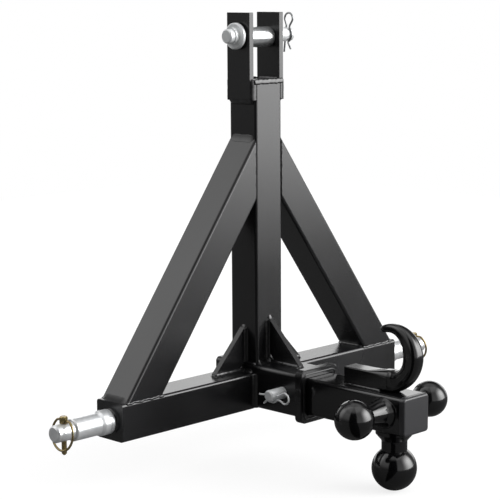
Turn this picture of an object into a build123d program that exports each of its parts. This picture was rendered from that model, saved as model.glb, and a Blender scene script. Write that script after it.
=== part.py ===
from build123d import *
from math import asin, atan2, cos, degrees, radians, sin, sqrt, tan
import os

os.makedirs("parts", exist_ok=True)

# Three point hitch frame with a receiver tube, a three-ball mount and its pins.
# Millimetres. The origin is the middle of the lower link axis, +X runs along the crossbar,
# -Y is the side where the ball mount leaves the receiver, and +Z is up the post.

# Square tube of the frame
frame_tube = 50.0
frame_wall = 4.0
frame_corner = 4.0
bar_length = 535.0
end_plate = 7.0
post_below_link = 59.2
post_cap_thickness = 5.0
brace_head_drop = 77.4
brace_foot_inset = 7.5

# Receiver tube and the collar round its mouth
receiver_height = 6.5
receiver_wall = 4.5
receiver_corner = 6.0
receiver_front = 116.5
receiver_rear = 50.0
collar_length = 11.0
collar_thickness = 6.1
collar_corner = 9.0
weld_fit = 0.05

# Gusset plates at the foot of the post
gusset_foot = 58.0
gusset_rise = 60.0
gusset_nose = 3.0
gusset_relief = 16.5
gusset_thickness = 8.0

# Top link clevis, its pin and its sleeve
top_link_height = 479.2
clevis_thickness = 7.0
clevis_width = 42.0
clevis_above_pin = 30.8
clevis_overlap = 24.0
clevis_edge = 1.0
running_fit = 0.1
side_play = 0.3
top_pin_diameter = 19.0
top_pin_left_end = 54.8
top_pin_right_end = 68.0
top_pin_chamfer = 1.5
flange_diameter = 35.0
flange_thickness = 5.0
flange_edge = 1.6
flange_standoff = 3.7
boss_diameter = 22.0
boss_length = 5.5
sleeve_diameter = 27.4
sleeve_bore = 23.8

# Lower link pins, from the end plate to the tip
link_tail_diameter = 20.0
link_tail_length = 10.0
link_neck_diameter = 27.0
link_neck_length = 4.0
link_collar_diameter = 32.4
link_flange_length = 5.5
link_groove_diameter = 30.6
link_groove_length = 1.0
link_collar_length = 13.0
link_shaft_diameter = 28.4
link_shaft_length = 40.0
link_tip_diameter = 22.2
link_tip_length = 28.4
link_tip_chamfer = 2.4
link_collar_taper = 4.0
link_edge = 1.0

# Lynch pins and their rings
lynch_from_tip = 16.9
lynch_diameter = 6.5
lynch_below = 29.0
lynch_point = 2.0
lynch_head_diameter = 10.5
lynch_head_base = 11.6
lynch_head_height = 9.0
lynch_head_edge = 1.4
ring_wire = 3.0
ring_hinge_height = 15.0
ring_radius = 20.8
ring_drop = 17.2
ring_shoulder_radius = 6.0
ring_gap = 1.5
left_lynch_turn = 2.0
right_lynch_turn = -8.0
ring_rest_gap = 0.2

# Ball mount
shank_side = 50.0
shank_clearance = 0.5
shank_wall = 6.0
shank_corner = 5.0
shank_rear = 10.0
shank_front = 282.4
shank_plate = 8.0
shank_plate_edge = 3.0
ball_station = 248.0
bottom_ball_station = 246.4
ball_height = 9.7
left_ball_diameter = 50.8
right_ball_diameter = 47.6
bottom_ball_diameter = 58.7
left_ball_reach = 80.3
right_ball_reach = 69.0
bottom_ball_drop = 69.2
left_neck_diameter = 25.5
right_neck_diameter = 24.0
bottom_neck_diameter = 33.4
side_base_diameter = 33.6
bottom_base_diameter = 49.0
left_neck_length = 9.3
right_neck_length = 8.4
bottom_neck_length = 13.0
left_flare_rounding = 80.0
right_flare_rounding = 40.0
bottom_flare_rounding = 5.0
flare_rounding_margin = 0.5
side_base_rim = 2.0
bottom_base_rim = 4.5

# Tow hook on the shank: heights are above the shank's top face
hook_rear = 171.0
hook_width = 24.0
hook_arm_height = 23.2
hook_arm_edge = 1.6
hook_sink = 1.0
hook_ring_station = 241.9
hook_ring_height = 47.7
hook_ring_radius = 34.2
hook_bar_half = 11.8
hook_throat_half = 14.5

# Hitch pin through the receiver
hitch_pin_station = 77.0
hitch_pin_diameter = 16.0
hitch_pin_left_end = 58.0
hitch_pin_chamfer = 2.0
hitch_pin_straight = 38.0
hitch_bend_radius = 16.0
hitch_handle_length = 38.0

# Spring wire clips
clip_wire = 2.6
clip_loop_radius = 7.2
clip_loop_distance = 22.3
clip_neck_gap = 6.0
clip_neck_distance = 12.8
clip_neck_radius = 4.0
clip_shoulder_radius = 1.6
clip_leg = 24.0
clip_flare_angle = 37.0
clip_flare_radius = 3.0
clip_flare_length = 8.5
clip_from_end = 8.4
top_clip_tilt = 7.0
hitch_clip_tilt = 5.0

half_tube = frame_tube / 2
bar_top = half_tube
post_height = top_link_height - post_below_link
half_bar = bar_length / 2
receiver_side = shank_side + 2 * shank_clearance + 2 * receiver_wall
half_receiver = receiver_side / 2
receiver_top = receiver_height + half_receiver
post_tube_top = post_height - post_cap_thickness
sides = (("left", -1), ("right", 1))


def save(builder, label):
    """Name the finished piece and write it as its own file."""
    builder.part.label = label
    export_step(builder.part, f"parts/{label}.step")


# Receiver tube, open at both ends, with the cross hole for the hitch pin
with BuildPart() as receiver_tube:
    with BuildSketch(Plane.XZ.offset(-receiver_rear)):
        with Locations((0, receiver_height)):
            RectangleRounded(receiver_side, receiver_side, receiver_corner)
            inner_side = receiver_side - 2 * receiver_wall
            inner_corner = receiver_corner - receiver_wall
            RectangleRounded(inner_side, inner_side, inner_corner, mode=Mode.SUBTRACT)
    extrude(amount=receiver_rear + receiver_front)
    with BuildSketch(Plane.YZ):
        with Locations((-hitch_pin_station, receiver_height)):
            Circle(hitch_pin_diameter / 2 + running_fit)
    extrude(amount=half_receiver, both=True, mode=Mode.SUBTRACT)
save(receiver_tube, "receiver_tube")

# Collar welded round the mouth
with BuildPart() as mouth_collar:
    with BuildSketch(Plane.XZ.offset(receiver_front - collar_length)):
        with Locations((0, receiver_height)):
            collar_side = receiver_side + 2 * collar_thickness
            RectangleRounded(collar_side, collar_side, collar_corner)
            opening_side = receiver_side + 2 * weld_fit
            opening_corner = receiver_corner + weld_fit
            RectangleRounded(opening_side, opening_side, opening_corner, mode=Mode.SUBTRACT)
    extrude(amount=collar_length)
    chamfer(mouth_collar.faces().sort_by(Axis.Y)[0].outer_wire().edges(), 1.0)
save(mouth_collar, "mouth_collar")

# Two crossbar tubes from the receiver tube to the end plates
bar_inner = frame_tube - 2 * frame_wall
bar_inner_corner = 1.0
for side_name, side in sides:
    with BuildPart() as crossbar:
        with BuildSketch(Plane.YZ.offset(side * half_receiver)):
            RectangleRounded(frame_tube, frame_tube, frame_corner)
            RectangleRounded(bar_inner, bar_inner, bar_inner_corner, mode=Mode.SUBTRACT)
        extrude(amount=side * (half_bar - end_plate - half_receiver))
    save(crossbar, f"{side_name}_crossbar")

# End plates, bored for the tails of the lower link pins
for side_name, side in sides:
    with BuildPart() as end_plate_part:
        with BuildSketch(Plane.YZ.offset(side * (half_bar - end_plate))):
            RectangleRounded(frame_tube, frame_tube, frame_corner)
            Circle(link_tail_diameter / 2 + weld_fit, mode=Mode.SUBTRACT)
        extrude(amount=side * end_plate)
    save(end_plate_part, f"{side_name}_end_plate")

# Post on top of the receiver tube, closed by a plate
with BuildPart() as centre_post:
    with BuildSketch(Plane.XY.offset(receiver_top)):
        RectangleRounded(frame_tube, frame_tube, frame_corner)
        RectangleRounded(bar_inner, bar_inner, bar_inner_corner, mode=Mode.SUBTRACT)
    extrude(amount=post_tube_top - receiver_top)
save(centre_post, "centre_post")

with BuildPart() as post_cap:
    with BuildSketch(Plane.XY.offset(post_tube_top)):
        RectangleRounded(frame_tube, frame_tube, frame_corner)
    extrude(amount=post_cap_thickness)
save(post_cap, "post_cap")

# Braces: straight tube on a slope, cut flush against the post and on the crossbar
foot_x = half_bar - brace_foot_inset
head_z = post_height - brace_head_drop
slope = atan2(head_z - bar_top, foot_x - half_tube)
drop_to_axis = half_tube / cos(slope)
brace_reach = (foot_x - half_tube) / cos(slope) + 2 * frame_tube
for side_name, side in sides:
    brace_head = (side * half_tube, 0, head_z - drop_to_axis)
    brace_down = (side * cos(slope), 0, -sin(slope))
    brace_plane = Plane(origin=brace_head, x_dir=(0, 1, 0), z_dir=brace_down)
    with BuildPart() as brace:
        with BuildSketch(brace_plane.offset(-2 * frame_tube)):
            RectangleRounded(frame_tube, frame_tube, frame_corner)
            RectangleRounded(bar_inner, bar_inner, bar_inner_corner, mode=Mode.SUBTRACT)
        extrude(amount=brace_reach + 4 * frame_tube)
        post_face = Plane(origin=(side * half_tube, 0, 0), z_dir=(side, 0, 0))
        split(bisect_by=post_face, keep=Keep.TOP)
        split(bisect_by=Plane.XY.offset(bar_top), keep=Keep.TOP)
    save(brace, f"{side_name}_brace")

# Gusset plates: a right triangle with blunt corners and a relief over the weld
gusset_outline = [
    (gusset_relief, 0),
    (gusset_foot, 0),
    (gusset_foot, gusset_nose),
    (gusset_nose, gusset_rise),
    (0, gusset_rise),
    (0, gusset_relief),
]
gusset_planes = (
    ("left_gusset", Plane(origin=(-half_tube, 0, bar_top), x_dir=(-1, 0, 0), z_dir=(0, 1, 0))),
    ("right_gusset", Plane(origin=(half_tube, 0, bar_top), x_dir=(1, 0, 0), z_dir=(0, -1, 0))),
    ("front_gusset", Plane(origin=(0, -half_tube, receiver_top), x_dir=(0, -1, 0), z_dir=(-1, 0, 0))),
)
for gusset_name, gusset_plane in gusset_planes:
    with BuildPart() as gusset:
        with BuildSketch(gusset_plane):
            with BuildLine():
                Polyline(*gusset_outline, close=True)
            make_face()
        extrude(amount=gusset_thickness / 2, both=True)
    save(gusset, gusset_name)

# Clevis plates on the sides of the post
clevis_bottom = post_height - clevis_overlap
clevis_top = top_link_height + clevis_above_pin
for side_name, side in sides:
    with BuildPart() as clevis_plate:
        with BuildSketch(Plane.YZ.offset(side * half_tube)):
            with Locations((0, (clevis_bottom + clevis_top) / 2)):
                Rectangle(clevis_width, clevis_top - clevis_bottom)
            with Locations((0, top_link_height)):
                Circle(top_pin_diameter / 2 + running_fit, mode=Mode.SUBTRACT)
        extrude(amount=side * clevis_thickness)
        fillet(clevis_plate.edges().filter_by(Axis.X), clevis_edge)
    save(clevis_plate, f"{side_name}_clevis_plate")

# Top link pin: stub, boss, flange and shaft turned on one axis, cross-drilled for its clip
top_pin_plane = Plane(origin=(0, 0, top_link_height), x_dir=(1, 0, 0), z_dir=(0, -1, 0))
top_pin_radius = top_pin_diameter / 2
flange_inner = half_tube + clevis_thickness + flange_standoff
flange_outer = flange_inner + flange_thickness
boss_outer = flange_outer + boss_length
top_clip_x = top_pin_right_end - clip_from_end
top_tilt = radians(top_clip_tilt)
top_clip_down = Vector(0, sin(top_tilt), -cos(top_tilt))
with BuildPart() as top_link_pin:
    with BuildSketch(top_pin_plane):
        with BuildLine():
            Polyline(
                (-top_pin_left_end, 0),
                (-top_pin_left_end, top_pin_radius - top_pin_chamfer),
                (-top_pin_left_end + top_pin_chamfer, top_pin_radius),
                (-boss_outer, top_pin_radius),
                (-boss_outer, boss_diameter / 2),
                (-flange_outer, boss_diameter / 2),
                (-flange_outer, flange_diameter / 2 - flange_edge),
                (-flange_outer + flange_edge, flange_diameter / 2),
                (-flange_inner, flange_diameter / 2),
                (-flange_inner, top_pin_radius),
                (top_pin_right_end - top_pin_chamfer, top_pin_radius),
                (top_pin_right_end, top_pin_radius - top_pin_chamfer),
                (top_pin_right_end, 0),
                close=True,
            )
        make_face()
    revolve(axis=Axis((0, 0, top_link_height), (1, 0, 0)))
    with BuildSketch(Plane(origin=(top_clip_x, 0, top_link_height), z_dir=top_clip_down)):
        Circle(clip_wire / 2 + running_fit)
    extrude(amount=top_pin_diameter, both=True, mode=Mode.SUBTRACT)
save(top_link_pin, "top_link_pin")

# Sleeve that hangs loose on the pin between the clevis plates
sleeve_height = top_link_height - (sleeve_bore - top_pin_diameter) / 2 + running_fit
sleeve_half = half_tube - side_play
with BuildPart() as top_sleeve:
    with BuildSketch(Plane.YZ):
        with Locations((0, sleeve_height)):
            Circle(sleeve_diameter / 2)
            Circle(sleeve_bore / 2, mode=Mode.SUBTRACT)
    extrude(amount=sleeve_half, both=True)
    chamfer(top_sleeve.edges().filter_by(GeomType.CIRCLE), 0.5)
save(top_sleeve, "top_sleeve")

# Lower link pins: tail, neck, flange, collar, shaft and stepped tip, drilled for the lynch pin
tail_end = half_bar - link_tail_length
neck_end = half_bar + link_neck_length
flange_end = neck_end + link_flange_length
groove_end = flange_end + link_groove_length
collar_end = groove_end + link_collar_length
shaft_end = collar_end + link_shaft_length
tip_end = shaft_end + link_tip_length
lynch_x = tip_end - lynch_from_tip
link_profile = [
    (tail_end, 0),
    (tail_end, link_tail_diameter / 2),
    (half_bar, link_tail_diameter / 2),
    (half_bar, link_neck_diameter / 2),
    (neck_end, link_neck_diameter / 2),
    (neck_end, link_collar_diameter / 2 - link_edge),
    (neck_end + link_edge, link_collar_diameter / 2),
    (flange_end, link_collar_diameter / 2),
    (flange_end, link_groove_diameter / 2),
    (groove_end, link_groove_diameter / 2),
    (groove_end, link_collar_diameter / 2),
    (collar_end - link_collar_taper, link_collar_diameter / 2),
    (collar_end, link_shaft_diameter / 2),
    (shaft_end - link_edge, link_shaft_diameter / 2),
    (shaft_end, link_shaft_diameter / 2 - link_edge),
    (shaft_end, link_tip_diameter / 2),
    (tip_end - link_tip_chamfer, link_tip_diameter / 2),
    (tip_end, link_tip_diameter / 2 - link_tip_chamfer),
    (tip_end, 0),
]
for side_name, side in sides:
    with BuildPart() as link_pin:
        with BuildSketch(Plane.XZ):
            with BuildLine():
                Polyline(*[(side * x, r) for x, r in link_profile], close=True)
            make_face()
        revolve(axis=Axis.X)
        with BuildSketch(Plane.XY):
            with Locations((side * lynch_x, 0)):
                Circle(lynch_diameter / 2 + running_fit)
        extrude(amount=link_tip_diameter, both=True, mode=Mode.SUBTRACT)
    save(link_pin, f"{side_name}_link_pin")

# Lynch pins: pointed pin with a round head that rests on the link pin and carries the ring
lynch_radius = lynch_diameter / 2
lynch_head_radius = lynch_head_diameter / 2
lynch_head_top = lynch_head_base + lynch_head_height
lynch_profile = [
    (0, -lynch_below),
    (lynch_radius - lynch_point, -lynch_below),
    (lynch_radius, -lynch_below + lynch_point),
    (lynch_radius, lynch_head_base),
    (lynch_head_radius, lynch_head_base),
    (lynch_head_radius, lynch_head_top - lynch_head_edge),
    (lynch_head_radius - lynch_head_edge, lynch_head_top),
    (0, lynch_head_top),
]
lynch_turns = {"left": left_lynch_turn, "right": right_lynch_turn}
for side_name, side in sides:
    turn = radians(lynch_turns[side_name])
    ring_axis = (sin(turn), cos(turn), 0)
    lynch_axis = Axis((side * lynch_x, 0, 0), (0, 0, 1))
    with BuildPart() as lynch_pin:
        with BuildSketch(Plane.XZ):
            with BuildLine():
                Polyline(*[(side * lynch_x + r, z) for r, z in lynch_profile], close=True)
            make_face()
        revolve(axis=lynch_axis)
        with BuildSketch(Plane(origin=(side * lynch_x, 0, ring_hinge_height), z_dir=ring_axis)):
            Circle(ring_wire / 2 + running_fit)
        extrude(amount=lynch_head_diameter, both=True, mode=Mode.SUBTRACT)
    save(lynch_pin, f"{side_name}_lynch_pin")

# Lynch rings: the wire ends turn inward into the head, and the bottom rests on the pin's outer side
ring_bottom = ring_drop + ring_radius
ring_tilt = asin((lynch_radius + ring_wire / 2 + ring_rest_gap) / ring_bottom)
ring_corner = sqrt(ring_radius**2 - ring_drop**2)
for side_name, side in sides:
    turn = radians(lynch_turns[side_name])
    across = Vector(sin(turn), cos(turn), 0)
    outward = Vector(side * cos(turn), -side * sin(turn), 0)
    down = outward * sin(ring_tilt) - Vector(0, 0, 1) * cos(ring_tilt)
    hinge_point = (side * lynch_x, 0, ring_hinge_height)
    ring_plane = Plane(origin=hinge_point, x_dir=across, z_dir=across.cross(down * -1))
    with BuildPart() as lynch_ring:
        with BuildLine(ring_plane) as ring_path:
            Line((ring_gap / 2, 0), (ring_corner, 0))
            ThreePointArc((ring_corner, 0), (0, -ring_bottom), (-ring_corner, 0))
            Line((-ring_corner, 0), (-ring_gap / 2, 0))
            shoulder_points = [ring_plane.from_local_coords((x, 0)) for x in (-ring_corner, ring_corner)]
            ring_bends = [ring_path.vertices().sort_by_distance(point)[0] for point in shoulder_points]
            fillet(ring_bends, ring_shoulder_radius)
        with BuildSketch(Plane(origin=ring_path.line @ 0, z_dir=ring_path.line % 0)):
            Circle(ring_wire / 2)
        sweep(path=ring_path.line)
    save(lynch_ring, f"{side_name}_lynch_ring")

# Ball mount shank: square tube with a cross hole for the hitch pin, closed in front
shank_height = receiver_height
shank_top = shank_height + shank_side / 2
shank_bottom = shank_height - shank_side / 2
shank_inner = shank_side - 2 * shank_wall
with BuildPart() as shank:
    with BuildSketch(Plane.XZ.offset(shank_rear)):
        with Locations((0, shank_height)):
            RectangleRounded(shank_side, shank_side, shank_corner)
            Rectangle(shank_inner, shank_inner, mode=Mode.SUBTRACT)
    extrude(amount=shank_front - shank_plate - shank_rear)
    with BuildSketch(Plane.YZ):
        with Locations((-hitch_pin_station, receiver_height)):
            Circle(hitch_pin_diameter / 2 + running_fit)
    extrude(amount=shank_side, both=True, mode=Mode.SUBTRACT)
save(shank, "shank")

with BuildPart() as shank_end_plate:
    with BuildSketch(Plane.XZ.offset(shank_front - shank_plate)):
        with Locations((0, shank_height)):
            RectangleRounded(shank_side, shank_side, shank_corner)
    extrude(amount=shank_plate)
    fillet(shank_end_plate.faces().sort_by(Axis.Y)[0].edges(), shank_plate_edge)
save(shank_end_plate, "shank_end_plate")

# Tow balls: a sphere on a neck that flares to a round base on the shank, turned on one axis
ball_planes = {
    "left_ball": Plane(origin=(0, -ball_station, ball_height), x_dir=(-1, 0, 0), z_dir=(0, 1, 0)),
    "right_ball": Plane(origin=(0, -ball_station, ball_height), x_dir=(1, 0, 0), z_dir=(0, 1, 0)),
    "bottom_ball": Plane(origin=(0, -bottom_ball_station, 0), x_dir=(0, 0, -1), z_dir=(0, 1, 0)),
}
left_neck = (left_neck_diameter / 2, left_neck_length, left_flare_rounding)
right_neck = (right_neck_diameter / 2, right_neck_length, right_flare_rounding)
bottom_neck = (bottom_neck_diameter / 2, bottom_neck_length, bottom_flare_rounding)
side_base = (shank_side / 2, side_base_diameter / 2, side_base_rim)
bottom_base = (-shank_bottom, bottom_base_diameter / 2, bottom_base_rim)
ball_rows = (
    ("left_ball", left_ball_reach, left_ball_diameter, left_neck, side_base),
    ("right_ball", right_ball_reach, right_ball_diameter, right_neck, side_base),
    ("bottom_ball", bottom_ball_drop, bottom_ball_diameter, bottom_neck, bottom_base),
)
for ball_name, reach, diameter, neck, base in ball_rows:
    ball_plane = ball_planes[ball_name]
    neck_radius, neck_length, flare_rounding = neck
    seat, base_radius, rim = base
    ball_radius = diameter / 2
    joint_x = reach - sqrt(ball_radius**2 - neck_radius**2)
    joint_angle = degrees(atan2(neck_radius, joint_x - reach))
    flare_end_x = joint_x - neck_length
    flare_run = flare_end_x - seat - rim
    flare_slant = sqrt(flare_run**2 + (base_radius - neck_radius) ** 2)
    flare_turn = atan2(base_radius - neck_radius, flare_run)
    rounding_room = min(neck_length, flare_slant) - flare_rounding_margin
    widest_rounding = rounding_room / tan(flare_turn / 2)
    with BuildPart() as ball:
        with BuildSketch(ball_plane) as ball_face:
            with BuildLine():
                Polyline(
                    (reach + ball_radius, 0),
                    (seat, 0),
                    (seat, base_radius),
                    (seat + rim, base_radius),
                    (flare_end_x, neck_radius),
                    (joint_x, neck_radius),
                )
                CenterArc((reach, 0), ball_radius, joint_angle, -joint_angle)
            make_face()
            neck_corner = ball_face.vertices().sort_by_distance((flare_end_x, neck_radius, 0))[0]
            fillet(neck_corner, min(flare_rounding, widest_rounding))
        revolve(axis=Axis(ball_plane.origin, ball_plane.x_dir))
    save(ball, ball_name)

# Tow hook: one forged bar, square in section along the arm, round in the bend and thin at the tip.
# Arm rows: share of the arm's length, then how far the section has grown from arm to bend.
hook_arm_rows = ((0.0, 0.0), (0.3, 0.0), (0.55, 0.06), (0.75, 0.42), (0.9, 0.85), (1.0, 1.0))
# Bend rows: angle from the front, then the section's height and width against the bar.
hook_bend_rows = (
    (-90, hook_throat_half / hook_bar_half, 1.03),
    (-65, 1.09, 1.03),
    (-40, 0.98, 1.01),
    (-15, 1.0, 1.0),
    (10, 1.0, 1.0),
    (35, 0.88, 0.87),
    (60, 0.71, 0.70),
    (86, 0.53, 0.52),
    (110, 0.42, 0.42),
    (115, 0.37, 0.37),
    (118.5, 0.26, 0.26),
    (120, 0.14, 0.14),
)
hook_rounding = 0.79
hook_plane = Plane(origin=(0, 0, shank_top), x_dir=(0, -1, 0), z_dir=(-1, 0, 0))
arm_centre = (hook_arm_height - hook_sink) / 2
arm_half = (hook_arm_height + hook_sink) / 2
bend_centre = hook_ring_height - hook_ring_radius
bend_width = hook_bend_rows[0][2] * hook_bar_half
bend_corner = hook_rounding * bend_width
with BuildPart() as tow_hook:
    for along, grown in hook_arm_rows:
        station = hook_rear + along * (hook_ring_station - hook_rear)
        height = arm_centre + grown * (bend_centre - arm_centre)
        half_height = arm_half + grown * (hook_throat_half - arm_half)
        half_width = hook_width / 2 + grown * (bend_width - hook_width / 2)
        corner = hook_arm_edge + grown * (bend_corner - hook_arm_edge)
        centre = hook_plane.from_local_coords((station, height, 0))
        with BuildSketch(Plane(origin=centre, x_dir=(1, 0, 0), z_dir=(0, -1, 0))):
            RectangleRounded(2 * half_width, 2 * half_height, corner)
    loft()
    for angle, height_share, width_share in hook_bend_rows:
        turn = radians(angle)
        station = hook_ring_station + hook_ring_radius * cos(turn)
        height = hook_ring_height + hook_ring_radius * sin(turn)
        centre = hook_plane.from_local_coords((station, height, 0))
        ahead = Vector(0, sin(turn), cos(turn))
        half_height = height_share * hook_bar_half
        half_width = width_share * hook_bar_half
        with BuildSketch(Plane(origin=centre, x_dir=(1, 0, 0), z_dir=ahead)):
            RectangleRounded(2 * half_width, 2 * half_height, hook_rounding * min(half_width, half_height))
    loft()
    split(bisect_by=Plane.XY.offset(shank_top), keep=Keep.TOP)
save(tow_hook, "tow_hook")

# Hitch pin: round bar with a bent handle, cross-drilled for its clip
hitch_clip_x = hitch_pin_left_end - clip_from_end
pin_tilt = radians(hitch_clip_tilt)
pin_forward = Vector(0, -cos(pin_tilt), sin(pin_tilt))
hitch_origin = Vector(0, -hitch_pin_station, receiver_height)
handle_plane = Plane(origin=hitch_origin, x_dir=(1, 0, 0), z_dir=Vector(1, 0, 0).cross(pin_forward))
handle_x = hitch_pin_straight + hitch_bend_radius
with BuildPart() as hitch_pin:
    with BuildLine(handle_plane) as pin_path:
        Line((-hitch_pin_left_end, 0), (hitch_pin_straight, 0))
        RadiusArc((hitch_pin_straight, 0), (handle_x, hitch_bend_radius), -hitch_bend_radius)
        Line((handle_x, hitch_bend_radius), (handle_x, hitch_bend_radius + hitch_handle_length))
    with BuildSketch(Plane(origin=hitch_origin - Vector(hitch_pin_left_end, 0, 0), z_dir=(1, 0, 0))):
        Circle(hitch_pin_diameter / 2)
    sweep(path=pin_path.line)
    chamfer(hitch_pin.edges().sort_by(Axis.X)[0], hitch_pin_chamfer)
    clip_hole = Plane(origin=hitch_origin - Vector(hitch_clip_x, 0, 0), z_dir=pin_forward)
    with BuildSketch(clip_hole):
        Circle(clip_wire / 2 + running_fit)
    extrude(amount=hitch_pin_diameter, both=True, mode=Mode.SUBTRACT)
save(hitch_pin, "hitch_pin")

# Spring wire clips: straight leg through the pin, round loop, and a leg bent round the pin
top_clip_plane = Plane(origin=(top_clip_x, 0, top_link_height), x_dir=top_clip_down, z_dir=(-1, 0, 0))
hitch_clip_middle = hitch_origin - Vector(hitch_clip_x, 0, 0)
hitch_clip_plane = Plane(origin=hitch_clip_middle, x_dir=pin_forward * -1, z_dir=(-1, 0, 0))
clip_rows = (
    ("top_clip", top_clip_plane, top_pin_diameter),
    ("hitch_clip", hitch_clip_plane, hitch_pin_diameter),
)
wing_turn = radians(clip_flare_angle)
neck_x = -clip_neck_distance
loop_middle = Vector(-clip_loop_distance, clip_neck_gap / 2)
loop_reach = sqrt((clip_loop_distance - clip_neck_distance) ** 2 + (clip_neck_gap / 2) ** 2)
loop_lean = asin(clip_loop_radius / loop_reach) - asin(clip_neck_gap / 2 / loop_reach)
loop_side = degrees(loop_lean)
loop_foot = loop_middle + Vector(sin(loop_lean), -cos(loop_lean)) * clip_loop_radius
loop_head = loop_middle + Vector(sin(loop_lean), cos(loop_lean)) * clip_loop_radius
for clip_name, clip_plane, held_diameter in clip_rows:
    bulge = held_diameter / 2 + clip_wire / 2 + running_fit
    hollow_y = clip_neck_gap + clip_shoulder_radius
    hollow_x = sqrt((bulge + clip_shoulder_radius) ** 2 - hollow_y**2)
    touch_share = bulge / (bulge + clip_shoulder_radius)
    touch_x = hollow_x * touch_share
    touch_y = hollow_y * touch_share
    wing_x = hollow_x + clip_flare_radius * sin(wing_turn)
    wing_y = clip_neck_gap + clip_flare_radius * (1 - cos(wing_turn))
    wing_end_x = wing_x + clip_flare_length * cos(wing_turn)
    wing_end_y = wing_y + clip_flare_length * sin(wing_turn)
    with BuildPart() as clip:
        with BuildLine(clip_plane) as clip_path:
            Polyline((clip_leg, 0), (neck_x, 0), (loop_foot.X, loop_foot.Y))
            CenterArc((loop_middle.X, loop_middle.Y), clip_loop_radius, loop_side - 90, -180 - 2 * loop_side)
            Polyline((loop_head.X, loop_head.Y), (neck_x, clip_neck_gap), (-hollow_x, clip_neck_gap))
            RadiusArc((-hollow_x, clip_neck_gap), (-touch_x, touch_y), -clip_shoulder_radius)
            ThreePointArc((-touch_x, touch_y), (0, bulge), (touch_x, touch_y))
            RadiusArc((touch_x, touch_y), (hollow_x, clip_neck_gap), -clip_shoulder_radius)
            RadiusArc((hollow_x, clip_neck_gap), (wing_x, wing_y), -clip_flare_radius)
            Line((wing_x, wing_y), (wing_end_x, wing_end_y))
            neck_points = [clip_plane.from_local_coords((neck_x, y)) for y in (0, clip_neck_gap)]
            clip_necks = [clip_path.vertices().sort_by_distance(point)[0] for point in neck_points]
            fillet(clip_necks, clip_neck_radius)
        with BuildSketch(Plane(origin=clip_path.line @ 0, z_dir=clip_path.line % 0)):
            Circle(clip_wire / 2)
        sweep(path=clip_path.line)
    save(clip, clip_name)
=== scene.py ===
# %% [markdown]
# # A three point hitch with a receiver and a ball mount
#
# The real object is a welded frame of square tube under a black powder coat. It carries bright
# zinc pins, two yellow lynch pins with their rings, and a black ball mount pinned in its receiver.
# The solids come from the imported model. This lesson adds what a welder and a coater leave on
# them: the beads in the corners, the skin of the coat, and the plating on the pins.

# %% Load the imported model
import math
import bpy
import numpy as np
from mathutils import Matrix, Vector


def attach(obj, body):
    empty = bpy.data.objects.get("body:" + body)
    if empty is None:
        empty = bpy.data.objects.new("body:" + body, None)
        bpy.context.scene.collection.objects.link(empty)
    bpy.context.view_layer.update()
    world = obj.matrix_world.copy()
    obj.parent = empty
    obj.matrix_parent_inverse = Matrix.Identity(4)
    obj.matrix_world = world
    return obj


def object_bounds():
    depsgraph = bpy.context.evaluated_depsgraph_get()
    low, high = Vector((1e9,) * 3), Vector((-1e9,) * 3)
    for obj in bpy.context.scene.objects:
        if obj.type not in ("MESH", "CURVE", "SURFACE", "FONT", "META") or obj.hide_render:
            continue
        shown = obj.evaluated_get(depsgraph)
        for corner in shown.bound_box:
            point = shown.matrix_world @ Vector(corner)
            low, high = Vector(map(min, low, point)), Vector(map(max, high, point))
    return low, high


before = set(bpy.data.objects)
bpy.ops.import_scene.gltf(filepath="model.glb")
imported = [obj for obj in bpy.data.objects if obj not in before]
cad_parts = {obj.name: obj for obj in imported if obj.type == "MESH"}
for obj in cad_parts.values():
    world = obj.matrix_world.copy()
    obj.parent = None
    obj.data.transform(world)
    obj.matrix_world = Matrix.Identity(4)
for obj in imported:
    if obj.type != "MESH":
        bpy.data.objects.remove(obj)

bpy.context.scene.view_settings.view_transform = "Standard"
cad_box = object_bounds()
print("nodes:", len(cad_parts))

# %% [markdown]
# ## Camera
#
# The photograph was taken with a long lens from the front left, a little above the crossbar. A
# camera could be placed by eye, but the frame's straight edges fix it much better. The numbers
# here were solved from those edges: two angles, a small roll, the distance and the lens. Blender
# works in metres, and the bead sizes further down are in mm, so MM turns one into the other.

# %% Place the camera
MM = 0.001
camera_turn = math.radians(-45.62)
camera_rise = math.radians(9.0)
camera_roll = math.radians(-0.31)
camera_distance = 2.2765
camera_target = Vector((0, 0, 0.190))

back = Vector((
    math.sin(camera_turn) * math.cos(camera_rise),
    -math.cos(camera_turn) * math.cos(camera_rise),
    math.sin(camera_rise),
))
level_right = Vector((math.cos(camera_turn), math.sin(camera_turn), 0))
level_up = back.cross(level_right)
right = level_right * math.cos(camera_roll) + level_up * math.sin(camera_roll)
up = level_up * math.cos(camera_roll) - level_right * math.sin(camera_roll)
camera_axes = Matrix((right, up, back)).transposed().to_4x4()

camera_data = bpy.data.cameras.new("camera")
camera_data.lens = 120.0
camera_data.sensor_width = 36.0
camera_data.shift_x = -0.0126
camera_data.shift_y = -0.0026
camera = bpy.data.objects.new("camera", camera_data)
camera.matrix_world = Matrix.Translation(camera_target + back * camera_distance) @ camera_axes
bpy.context.scene.collection.objects.link(camera)
bpy.context.scene.camera = camera
print("camera at", [round(v, 3) for v in camera.matrix_world.translation])

# %% [markdown]
# ## Colours and nodes
#
# Colours are easiest to read as hex, as a paint maker gives them, but shaders add light, so each
# one is turned to linear. A material is a tree of nodes. It could be joined up by hand in the
# editor, but lines that say the same can be read, compared and used again. One helper adds a
# node, sets it and links it, and every finish uses it.

# %% Helpers for materials
MATH, VECTOR = "ShaderNodeMath", "ShaderNodeVectorMath"


def linear(code):
    """An sRGB hex colour as linear: x / 12.92 when dark, else ((x + 0.055) / 1.055) ** 2.4."""
    srgb = np.array([int(code[i:i + 2], 16) / 255 for i in (1, 3, 5)])
    values = np.where(srgb <= 0.04045, srgb / 12.92, ((srgb + 0.055) / 1.055) ** 2.4)
    return (*values.tolist(), 1.0)


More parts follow.
